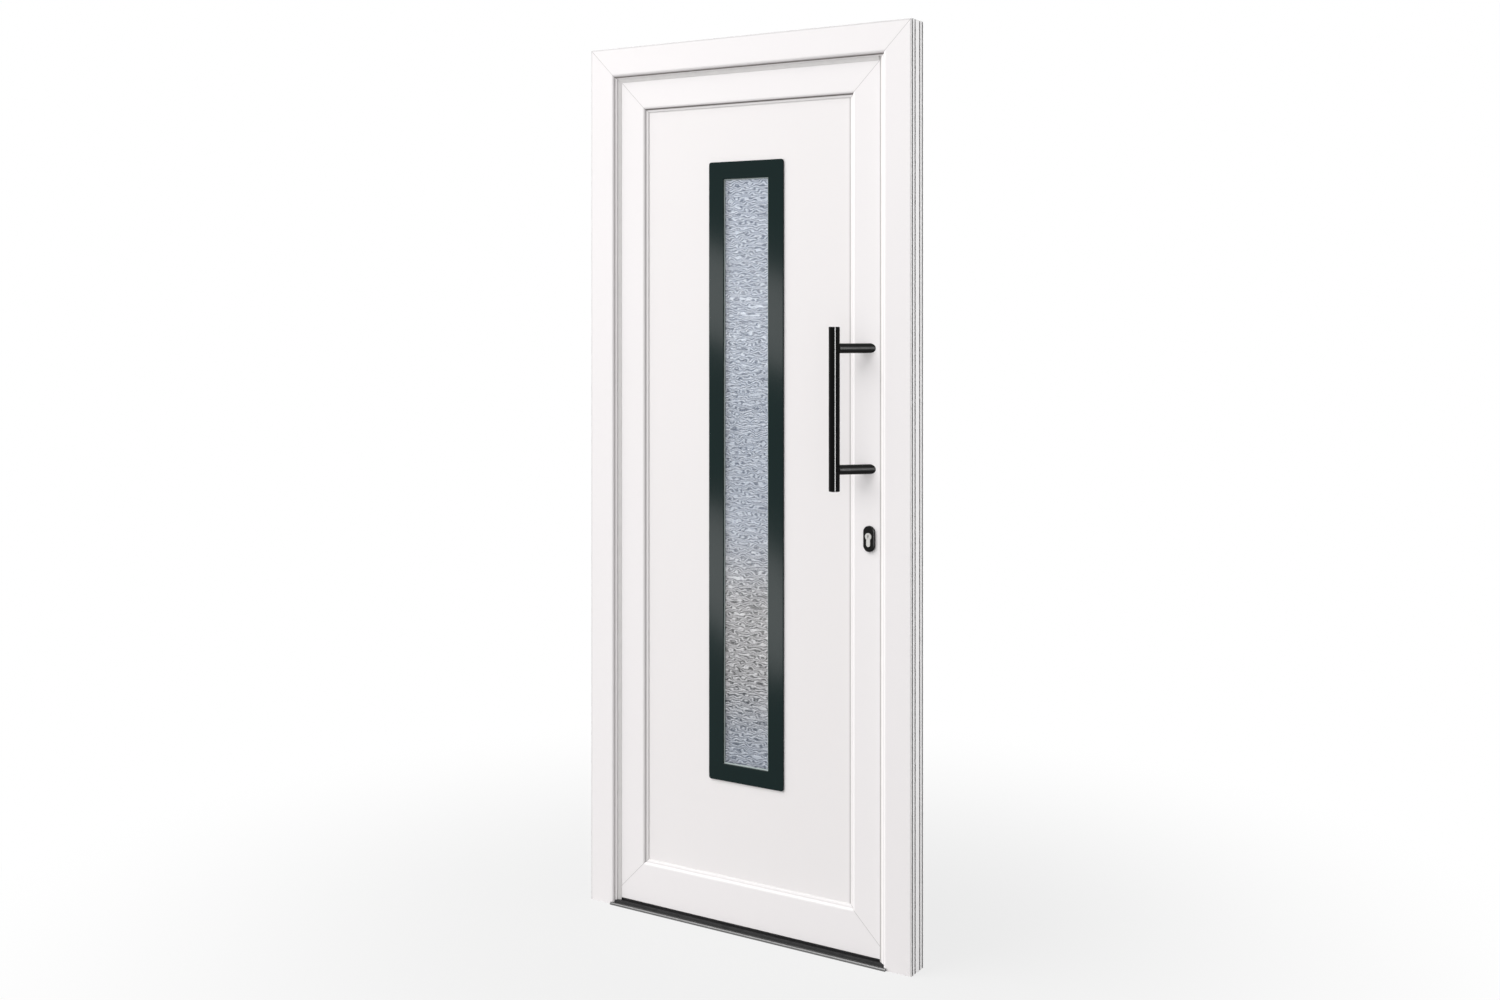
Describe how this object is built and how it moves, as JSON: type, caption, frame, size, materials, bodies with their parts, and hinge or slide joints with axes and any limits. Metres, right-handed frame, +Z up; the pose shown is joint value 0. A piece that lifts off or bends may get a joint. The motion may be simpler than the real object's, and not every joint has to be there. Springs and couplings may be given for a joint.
{
  "type": "pvc front door",
  "caption": "White plastic front door in its frame, with a tall narrow textured window, dark window trim, a black pull bar and a low metal threshold.",
  "frame": {"origin": "on the underside of the threshold, in the middle of the frame's width and depth", "axes": "+Z up along the jambs; +X across the door from the hinges to the lock; +Y from outdoors into the room"},
  "size_m": [0.88, 0.189, 2.1],
  "materials": {
    "pvc_white": "white extruded window plastic, satin gloss",
    "panel_white": "white door panel skin, satin gloss",
    "rubber_black": "matt black sealing rubber",
    "rubber_grey": "matt grey sealing rubber",
    "threshold_metal": "plain anodised metal",
    "threshold_dark": "ribbed black plastic",
    "trim_dark": "dark teal-black, satin gloss",
    "glass_textured": "fine hammered pattern, pale blue grey",
    "glass_clear": "clear float glass",
    "spacer_metal": "mill finish",
    "handle_black": "black powder coat, satin",
    "cylinder_nickel": "satin nickel",
    "lock_steel": "zinc plated, brushed",
    "hinge_white": "white powder coat"
  },
  "bodies": {
    "door_frame": {"frame_head": "pvc_white", "frame_hinge_jamb": "pvc_white", "frame_lock_jamb": "pvc_white", "threshold_base": "threshold_metal", "threshold_insert": "threshold_dark", "frame_seal": "rubber_grey", "strike_plate": "lock_steel", "hinge_lower_on_frame": "hinge_white", "hinge_middle_on_frame": "hinge_white", "hinge_upper_on_frame": "hinge_white", "hinge_pins": "hinge_white"},
    "leaf": {"leaf_top_rail": "pvc_white", "leaf_bottom_rail": "pvc_white", "leaf_hinge_stile": "pvc_white", "leaf_lock_stile": "pvc_white", "bead_top": "pvc_white", "bead_bottom": "pvc_white", "bead_hinge_side": "pvc_white", "bead_lock_side": "pvc_white", "door_panel": "panel_white", "leaf_bottom_seal": "rubber_black", "leaf_overlap_seal": "rubber_grey", "panel_seal_outside": "rubber_grey", "panel_seal_inside": "rubber_grey", "window_trim_outside": "trim_dark", "window_trim_inside": "trim_dark", "glass_outside": "glass_textured", "glass_inside": "glass_clear", "glass_spacer": "spacer_metal", "pull_bar": "handle_black", "pull_bar_lower_post": "handle_black", "pull_bar_upper_post": "handle_black", "escutcheon_outside": "handle_black", "escutcheon_inside": "handle_black", "lever_rose": "handle_black", "inside_lever": "handle_black", "lock_cylinder": "cylinder_nickel", "lock_faceplate": "lock_steel", "latch_bolt": "lock_steel", "dead_bolt": "lock_steel", "hinge_lower_on_leaf": "hinge_white", "hinge_middle_on_leaf": "hinge_white", "hinge_upper_on_leaf": "hinge_white"},
    "key_plug_body": {"key_plug": "cylinder_nickel"}
  },
  "joints": [
    {"name": "leaf_swing", "type": "hinge", "parent": "door_frame", "child": "leaf", "pos_m": [-0.414, 0.0535, 0], "axis": [0, 0, 1], "range_deg": [0, 100]},
    {"name": "key_turn", "type": "hinge", "parent": "leaf", "child": "key_plug_body", "pos_m": [0.33, -0.024, 0.955], "axis": [0, 1, 0], "continuous": true}
  ]
}
